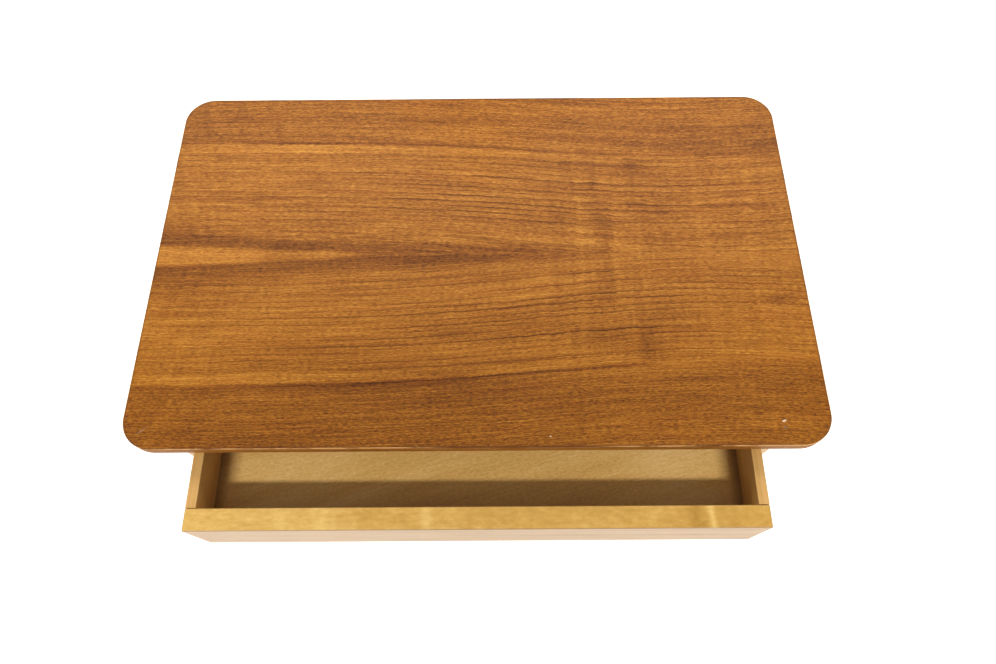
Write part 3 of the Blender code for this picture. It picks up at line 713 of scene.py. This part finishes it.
# A plain board shows long clouds along its grain and a faint flame across it.
board_figure, given = shader_group("board_figure", {"Place": (0, 0, 0)}, ("Clouds", "Flame"))
along, aside, deep = parts(board_figure, given["Place"])
clouds = noise(board_figure, vector(board_figure, along * 7.0, aside * 24.0, deep * 24.0),
               detail=3.0, rough=0.55)
flame_place = vector(board_figure, (along + aside * 0.35) * 34.0, aside * 9.0, deep * 9.0)
flame = noise(board_figure, flame_place, detail=1.0)
give_out(board_figure, Clouds=clouds - 0.5, Flame=flame - 0.5)

# The arrises of a board lie where it is close to two faces of its box at once.
board_arris, given = shader_group(
    "board_arris",
    {"Place": (0, 0, 0), "Low": (0, 0, 0), "High": (0, 0, 0), "Reach": 0.0022}, ("Arris",))
gaps = []
for here, low, high in zip(*(parts(board_arris, given[label])
                             for label in ("Place", "Low", "High"))):
    gaps.append((here - low).below(high - here))
nearest = gaps[0].below(gaps[1]).below(gaps[2])
farthest = gaps[0].beyond(gaps[1]).beyond(gaps[2])
second = gaps[0] + gaps[1] + gaps[2] - nearest - farthest
give_out(board_arris, Arris=second.rise(given["Reach"], 0.0004))


def plain_wood(name, tint, grain_axis, node_name, shift, finish_values):
    """A material for one plain board: grain along an axis, its own figure, and rubbed arrises.

    tint is its dark, middle and light colour. finish_values are the streak width, the contrast,
    the pores' length, width and share, the roughness and the share of wear on the arrises."""
    streak_width, contrast, pores, roughness, wear = finish_values
    made, tree, place = material(name)
    axes = parts(tree, place)
    along = axes[grain_axis]
    others = [axes[axis] for axis in range(3) if axis != grain_axis]
    board_place = vector(tree, along + shift, others[0] + shift * 0.37, others[1] - shift * 0.61)
    grained = show_grain(tree, board_place, streak_width, pores)
    worn = use(tree, handling, Place=place, Amount=1.0)
    figure = use(tree, board_figure, Place=vector(tree, along + shift, *others))
    tone = (0.5 + figure["Clouds"] * 1.1 * contrast + (grained["Streaks"] - 0.5) * contrast
            + (grained["Fibre"] - 0.5) * 0.35 * contrast + figure["Flame"] * 0.6 * contrast
            - grained["Pores"] * 0.25 * contrast)
    dark, middle, light = tint
    colour = tones(tree, tone.clip(), ((0.15, *dark), (0.5, *middle), (0.85, *light)))
    low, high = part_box(node_name)
    arris = use(tree, board_arris, Place=place, Low=tuple(low), High=tuple(high))["Arris"]
    edge = use(tree, edge_wear, Place=place, Edge=arris)["Wear"]
    wear_colour = [min(1.0, value * 1.15 + 0.03) for value in light]
    colour = blend(tree, edge * wear, colour, wear_colour)
    handled = worn["Dull"].rise(0.52, 0.80) * 0.22
    colour = blend(tree, handled, colour, [value * 0.82 for value in dark])
    rough = roughness + (worn["Dull"] - 0.5) * 0.2 + edge * 0.1 + worn["Scratches"] * 0.1
    height = 0.5 + grained["Fibre"] * 0.3 - grained["Pores"] * 0.3 + worn["Specks"] * 0.3
    finish(tree, colour, rough, height, 0.00005, Specular_IOR_Level=0.35)
    return made


def dress(node_name, made):
    """Gives a frame piece its finished material."""
    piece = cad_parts[node_name]
    piece.data.materials.clear()
    piece.data.materials.append(made)


FINE_PORES = (0.0012, 0.0003, 0.12)
PINE = ((0.42, 0.27, 0.12), (0.55, 0.39, 0.19), (0.66, 0.50, 0.28))
dress("tabletop_core", plain_wood(
    "blockboard_core", PINE, 0, "tabletop_core", 1.7, (0.006, 0.8, FINE_PORES, 0.7, 0.1)))
GABOON = ((0.34, 0.19, 0.085), (0.45, 0.27, 0.13), (0.55, 0.35, 0.18))
dress("tabletop_backing", plain_wood(
    "backing_veneer_raw", GABOON, 0, "tabletop_backing", 2.9,
    (0.005, 0.7, (0.003, 0.0004, 0.3), 0.62, 0.1)))


# The case: two birch sides, a birch back tongued into them, and two bearers tenoned in below
# that carry the legs. Two birch runners for the drawer are screwed inside. Clear varnish.

EASED_FROM = 0.025
EASING = 0.0006


def eased_board(node_name, body, made):
    """A copy of a frame board whose long outer arrises are eased, as with sandpaper.

    Every sharp convex edge longer than EASED_FROM is rounded over EASING on both its faces."""
    shape = bmesh.new()
    shape.from_mesh(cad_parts[node_name].data)
    bmesh.ops.remove_doubles(shape, verts=shape.verts, dist=1e-6)
    bmesh.ops.dissolve_limit(shape, angle_limit=np.radians(1.0), verts=shape.verts,
                             edges=shape.edges)
    arrises = [edge for edge in shape.edges
               if edge.calc_length() > EASED_FROM and edge.is_convex
               and edge.calc_face_angle(0) > np.radians(30)]
    bmesh.ops.bevel(shape, geom=arrises, offset=EASING, segments=2, profile=0.5,
                    affect="EDGES", clamp_overlap=True)
    bmesh.ops.dissolve_degenerate(shape, dist=1e-5, edges=shape.edges)
    mesh = bpy.data.meshes.new(f"board_{node_name}")
    shape.to_mesh(mesh)
    shape.free()
    mesh.materials.append(made)
    board = bpy.data.objects.new(f"board_{node_name}", mesh)
    bpy.context.scene.collection.objects.link(board)
    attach(board, body)
    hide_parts(node_name)
    return board


CASE_BIRCH = ((0.46, 0.285, 0.110), (0.62, 0.430, 0.205), (0.74, 0.560, 0.320))
CASE_FINISH = (0.007, 0.55, FINE_PORES, 0.44, 0.35)
for index, (name, axis) in enumerate((
        ("case_side_left", 1), ("case_side_right", 1), ("case_back", 0), ("front_bearer", 0),
        ("back_bearer", 0), ("runner_left", 1), ("runner_right", 1))):
    eased_board(name, "table", plain_wood(
        f"birch_{name}", CASE_BIRCH, axis, name, 3.1 + 1.9 * index, CASE_FINISH))


# The drawer: a birch front lap-dovetailed to thin birch sides, a back in housings, and a plywood
# bottom slid in from behind and screwed to the back. The front's face is painted paler than its
# edges, as painted light.

front_birch, tree, place = material("birch_drawer_front")
x, y, z = parts(tree, place)
grained = show_grain(tree, vector(tree, x + 21.3, y + 7.9, z - 12.1), 0.0040,
                     (0.0012, 0.0003, 0.18))
worn = use(tree, handling, Place=place, Amount=1.0)
cloudy = noise(tree, vector(tree, x * 16.0, y * 45.0, z * 45.0), detail=3.0) - 0.5
mottled = noise(tree, vector(tree, x * 120.0, y * 230.0, z * 230.0), detail=3.0,
                rough=0.65) - 0.5
depth_in = y - drawer_low.y
flame_at = x + depth_in * 0.12
flame = (flame_at.hump(0.1955, 0.0030) * 0.9 - flame_at.hump(0.183, 0.0065) * 0.45
         + flame_at.hump(-0.041, 0.0045) * 0.55 + flame_at.hump(-0.125, 0.011) * 0.30
         + noise(tree, vector(tree, flame_at * 60.0, depth_in * 20.0, z * 8.0)) * 0.5 - 0.25)
tone = (0.5 + cloudy * 0.45 + mottled * 0.62 + flame * 0.42 + (grained["Streaks"] - 0.5) * 0.22
        + (grained["Fibre"] - 0.5) * 0.12 + x.rise(0.06, -0.22) * 0.12 - x.rise(0.04, 0.22) * 0.05
        - grained["Pores"] * 0.10)
colour = tones(tree, tone.clip(), (
    (0.10, 0.430, 0.225, 0.036),
    (0.50, 0.612, 0.358, 0.082),
    (0.90, 0.830, 0.565, 0.182)))
# The face is painted paler and greyer than the edges: painted light, standing in for the strong
# front light that washes the face out.
face = depth_in.rise(0.0008, 0.0002)
face_tone = (0.5 + cloudy * 0.30 + mottled * 0.50 + (grained["Streaks"] - 0.5) * 1.30
             + (grained["Fibre"] - 0.5) * 0.90 - grained["Pores"] * 0.25)
face_colour = tones(tree, face_tone.clip(), (
    (0.10, 0.410, 0.252, 0.125),
    (0.50, 0.550, 0.368, 0.205),
    (0.90, 0.680, 0.490, 0.310)))
colour = blend(tree, face, colour, face_colour)
# Dirt has settled in the arrises: front top, front foot, back top and the two top ends.
below_top = drawer_high.z - z
arris = (below_top.beyond(depth_in).rise(0.0010, 0.0003)
         + depth_in.beyond(z - drawer_low.z).rise(0.0010, 0.0003)
         + below_top.beyond(drawer_high.y - y).rise(0.0009, 0.0003)
         + (drawer_high.x - abs(x)).beyond(below_top).rise(0.0010, 0.0003)).clip()
colour = blend(tree, arris * (0.35 + 0.5 * worn["Dull"]), colour, (0.200, 0.085, 0.022))
rough = 0.40 + (worn["Dull"] - 0.5) * 0.2 + mottled * 0.15 + worn["Scratches"] * 0.1
height = 0.5 + grained["Fibre"] * 0.25 - grained["Pores"] * 0.3 + worn["Specks"] * 0.3
finish(tree, colour, rough, height, 0.00005, Specular_IOR_Level=0.30)
SIDE_BIRCH = ((0.42, 0.215, 0.062), (0.60, 0.345, 0.108), (0.74, 0.470, 0.180))
eased_board("drawer_front", "drawer", front_birch)
for index, (name, axis) in enumerate((
        ("drawer_side_left", 1), ("drawer_side_right", 1), ("drawer_back", 0),
        ("drawer_glue_block_left", 0), ("drawer_glue_block_right", 0))):
    eased_board(name, "drawer", plain_wood(
        f"birch_{name}", SIDE_BIRCH, axis, name, 31.7 + 2.3 * index,
        (0.006, 0.6, FINE_PORES, 0.46, 0.3)))

# The bottom is three-ply birch. Its face was peeled from a log, so the faint figure runs askew.
# Painted shade darkens it along the side walls and near the front, and painted light lightens it
# towards both ends.
PAINTED_WALL_SHADE_WIDTH = 0.013
ply, tree, place = material("birch_ply_drawer_bottom")
x, y, z = parts(tree, place)
askew, crosswise = turned(x, y, (0.963, 0.270))
peeled = vector(tree, askew, crosswise + z, z)
grained = show_grain(tree, peeled, 0.0035, (0.0016, 0.0003, 0.30))
worn = use(tree, handling, Place=place, Amount=1.0)
swirl = noise(tree, vector(tree, askew * 7.0, crosswise * 30.0, z * 30.0), detail=3.0,
              distortion=0.6) - 0.5
feather = noise(tree, vector(tree, askew * 60.0, crosswise * 520.0, z * 500.0), detail=2.0) - 0.5
speckle = noise(tree, vector(tree, askew * 260.0, crosswise * 620.0, z * 500.0), detail=2.0,
                rough=0.6) - 0.5
# Painted light: the tone grows lighter towards both ends of the bottom.
tone = (0.5 + swirl * 0.80 + (grained["Streaks"] - 0.5) * 0.30
        + feather * (0.25 + swirl * 1.2) + speckle * 0.80 + abs(x).rise(0.05, 0.19) * 0.14
        + (grained["Fibre"] - 0.5) * 0.25 - grained["Pores"] * 0.20)
colour = tones(tree, tone.clip(), (
    (0.10, 0.460, 0.252, 0.066),
    (0.50, 0.690, 0.420, 0.124),
    (0.90, 0.830, 0.580, 0.245)))
side_inside = -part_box("drawer_side_left")[1].x
ply_low, ply_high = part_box("drawer_bottom")
middle_ply = z - (ply_low.z + ply_high.z) / 2
between = abs(middle_ply).rise(0.0010, 0.0007) * (y - ply_high.y).rise(-0.0006, -0.0001)
colour = blend(tree, between * 0.5, colour, (0.30, 0.16, 0.06))
# Painted shade: the bottom darkens towards each side wall, in place of the walls' shadow.
painted_wall_shade = ((side_inside - abs(x)) / PAINTED_WALL_SHADE_WIDTH).rise(1.0, 0.0) * (0.75 + 0.5 * worn["Dull"])
colour = blend(tree, (painted_wall_shade * 0.72).clip(), colour, (0.15, 0.060, 0.018))
# Painted shade near the drawer front, where the front throws its shadow on the bottom.
painted_front_shade = (y - ply_low.y).rise(0.045, 0.012)
colour = blend(tree, painted_front_shade * 0.32, colour, (0.25, 0.105, 0.028))
rough = 0.50 + (worn["Dull"] - 0.5) * 0.2 + painted_wall_shade * 0.15
height = 0.5 + grained["Fibre"] * 0.3 - grained["Pores"] * 0.3 + worn["Specks"] * 0.4
finish(tree, colour, rough, height, 0.00005, Specular_IOR_Level=0.3)
dress("drawer_bottom", ply)


# The legs: turned from beech, swelling to a belly below the top and tapering to the foot, which
# is cut level. Each is bolted through its wedge-shaped block into a bearer.

beech, tree, place = material("beech_varnished")
turned_place = node(tree, "ShaderNodeAttribute", "Vector", {}, attribute_name="grain_place",
                    attribute_type="GEOMETRY")
along, aside, around = parts(tree, turned_place)
grained = show_grain(tree, turned_place, 0.0028, (0.0012, 0.00035, 0.40))
worn = use(tree, handling, Place=place, Amount=1.0)
years = noise(tree, vector(tree, along * 1.6, aside * 260.0, around * 60.0), detail=2.0)
flecks = noise(tree, vector(tree, along * 700.0, aside * 900.0, around * 3800.0),
               detail=0.0).rise(0.66, 0.76)
tone = (0.5 + (grained["Streaks"] - 0.5) * 0.8 + (years - 0.5) * 0.7
        + (grained["Fibre"] - 0.5) * 0.25 - flecks * 0.25 - grained["Pores"] * 0.12)
colour = tones(tree, tone.clip(), (
    (0.10, 0.330, 0.162, 0.050),
    (0.50, 0.520, 0.300, 0.108),
    (0.90, 0.660, 0.430, 0.185)))
x, y, z = parts(tree, place)
foot_wear = z.rise(0.060, 0.008) * noise(tree, vector(tree, x * 90.0, y * 90.0, z * 60.0),
                                         detail=3.0).rise(0.42, 0.66)
colour = blend(tree, foot_wear * 0.35, colour, (0.24, 0.13, 0.07))
rough = 0.36 + (worn["Dull"] - 0.5) * 0.2 + foot_wear * 0.2
height = 0.5 + grained["Fibre"] * 0.25 - flecks * 0.2 + worn["Specks"] * 0.3
finish(tree, colour, rough, height, 0.00006, IOR=1.47)


def turned_surface(top, axis, foot_height, radii, shares, rounds=64):
    """A turned leg: rings about a line from top along axis, the last of them cut level.

    Point (i, j) is top + axis L_j s_i + r_i (side cos a_j + other sin a_j). s_i runs from 0 to
    1, and L_j is the length at which the line through the foot at angle a_j meets the floor
    level, so the rings tilt from square at the top to level at the foot."""
    side = axis.orthogonal().normalized()
    other = axis.cross(side)
    angle = 2 * np.pi * np.arange(rounds) / rounds
    spoke = np.outer(np.cos(angle), side) + np.outer(np.sin(angle), other)
    length = (foot_height - top.z - radii[-1] * spoke[:, 2]) / axis.z
    run = shares[:, None] * length[None, :]
    points = (np.array(top) + run[..., None] * np.array(axis)
              + radii[:, None, None] * spoke[None])
    own = np.stack([run, radii[:, None] * np.cos(angle), radii[:, None] * np.sin(angle)], -1)
    return points, own


SPLAY_X, SPLAY_Y = np.radians((9.0, 8.0))
LEG_SOCKET = 0.020
SOCKET_GAP = 0.0003
TOP_RADIUS, BELLY_RADIUS, FOOT_RADIUS = 0.0135, 0.0155, 0.0085
BELLY_AT = 0.22
TAPER = 1.25
TOP_EASE, FOOT_EASE = 0.0008, 0.0012
shares = np.concatenate([[0.0, 0.0022], np.linspace(0.012, 0.985, 56), [0.9925, 0.9973, 1.0]])
swell = TOP_RADIUS + (BELLY_RADIUS - TOP_RADIUS) * np.sin(np.pi / 2 * shares / BELLY_AT)
fall = np.clip((shares - BELLY_AT) / (1 - BELLY_AT), 0, 1)
radii = np.where(shares < BELLY_AT, swell,
                 BELLY_RADIUS + (FOOT_RADIUS - BELLY_RADIUS) * fall**TAPER)
radii[0] -= TOP_EASE
radii[-1] -= FOOT_EASE
radii[-2] -= FOOT_EASE * 0.25
for index, (name, sign_x, sign_y) in enumerate((
        ("front_left", -1, -1), ("front_right", 1, -1), ("back_left", -1, 1),
        ("back_right", 1, 1))):
    foot_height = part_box(f"leg_{name}")[0].z
    glide_low, glide_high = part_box(f"foot_glide_{name}")
    block_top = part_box(f"leg_block_{name}")[1].z
    axis = Vector((sign_x * np.tan(SPLAY_X), sign_y * np.tan(SPLAY_Y), -1.0)).normalized()
    foot = (glide_low + glide_high) / 2
    length = (block_top - LEG_SOCKET - foot_height) / -axis.z
    top = Vector((foot.x, foot.y, foot_height)) - axis * (length - SOCKET_GAP)
    points, own = turned_surface(top, axis, foot_height, radii, shares)
    rows, rounds = points.shape[:2]
    faces = ring_faces(rows, rounds).tolist() + grid_caps(rows, rounds)
    leg = mesh_piece(f"leg_turned_{name}", points.reshape(-1, 3), faces, beech)
    leg.data.set_sharp_from_angle(angle=np.radians(50))
    # Each leg is cut from another part of the grain.
    own[..., 0] += 0.9 * index
    own[..., 1] += 0.013 + 0.05 * index
    set_values(leg, "grain_place", "FLOAT_VECTOR", own)
    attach(leg, "table")
    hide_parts(f"leg_{name}")
    eased_board(f"leg_block_{name}", "table", plain_wood(
        f"birch_leg_block_{name}", CASE_BIRCH, 0, f"leg_block_{name}", 52.0 + 1.3 * index,
        CASE_FINISH))


# The metal: zinc-plated slotted screws and leg bolts, and nickel glides nailed under the feet.

# A fine even grain roughens the plating.
plating, given = shader_group("plating_grain", {"Place": (0, 0, 0)}, ("Fine",))
x, y, z = parts(plating, given["Place"])
give_out(plating, Fine=noise(plating, vector(plating, x * 900.0, y * 900.0, z * 900.0)))


def metal(name, colour, roughness):
    """Plated metal with a fine grain and dull patches."""
    made, tree, place = material(name)
    worn = use(tree, handling, Place=place, Amount=1.0)
    fine = use(tree, plating, Place=place)["Fine"]
    shade = blend(tree, worn["Dull"].rise(0.45, 0.75) * 0.5, colour,
                  [value * 0.55 for value in colour])
    rough = roughness + (fine - 0.5) * 0.15 + worn["Dull"] * 0.12
    finish(tree, shade, rough, fine, 0.00002, Metallic=1.0)
    return made


zinc = metal("zinc_plate", (0.60, 0.60, 0.58), 0.28)
nickel = metal("nickel_plate", (0.66, 0.62, 0.56), 0.20)
for name in sorted(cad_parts):
    if "screw" in name or "bolt" in name:
        dress(name, zinc)

GLIDE_STEPS = 9
GLIDE_ROUNDS = 48
GLIDE_HEIGHT = 0.004
SOLE_RISE = 0.0026
SOLE_SHARE = 0.66
angle = 2 * np.pi * np.arange(GLIDE_ROUNDS) / GLIDE_ROUNDS
bend = np.linspace(0, np.pi / 2, GLIDE_STEPS)
for name in ("front_left", "front_right", "back_left", "back_right"):
    low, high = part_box(f"foot_glide_{name}")
    centre = (low + high) / 2
    radius = (high.x - low.x) / 2
    flat = radius * SOLE_SHARE
    # A flat sole, a quarter ellipse up to the widest part, and a straight rim.
    profile_r = np.concatenate([[flat * 0.5], flat + (radius - flat) * np.sin(bend),
                                [radius, radius - 0.0003, 0.002]])
    profile_z = np.concatenate([[0.0], SOLE_RISE * (1 - np.cos(bend)),
                                [GLIDE_HEIGHT - 0.0003, GLIDE_HEIGHT, GLIDE_HEIGHT]])
    glide_points = np.stack([
        centre.x + np.outer(profile_r, np.cos(angle)),
        centre.y + np.outer(profile_r, np.sin(angle)),
        np.repeat(profile_z[:, None], GLIDE_ROUNDS, 1)], -1)
    faces = ring_faces(len(profile_r), GLIDE_ROUNDS).tolist()
    faces += grid_caps(len(profile_r), GLIDE_ROUNDS)
    glide = mesh_piece(f"glide_{name}", glide_points.reshape(-1, 3), faces, nickel)
    glide.data.set_sharp_from_angle(angle=np.radians(50))
    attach(glide, "table")
    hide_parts(f"foot_glide_{name}")


# Beech dowels fix the top to the case. They are glued in and never seen.

BARE_BEECH = ((0.40, 0.24, 0.11), (0.55, 0.36, 0.18), (0.62, 0.44, 0.25))
dowel_beech = plain_wood("beech_dowels", BARE_BEECH, 2, "top_dowel_front_left", 61.0,
                         (0.004, 0.6, FINE_PORES, 0.6, 0.1))
for name in sorted(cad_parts):
    if "dowel" in name:
        dress(name, dowel_beech)
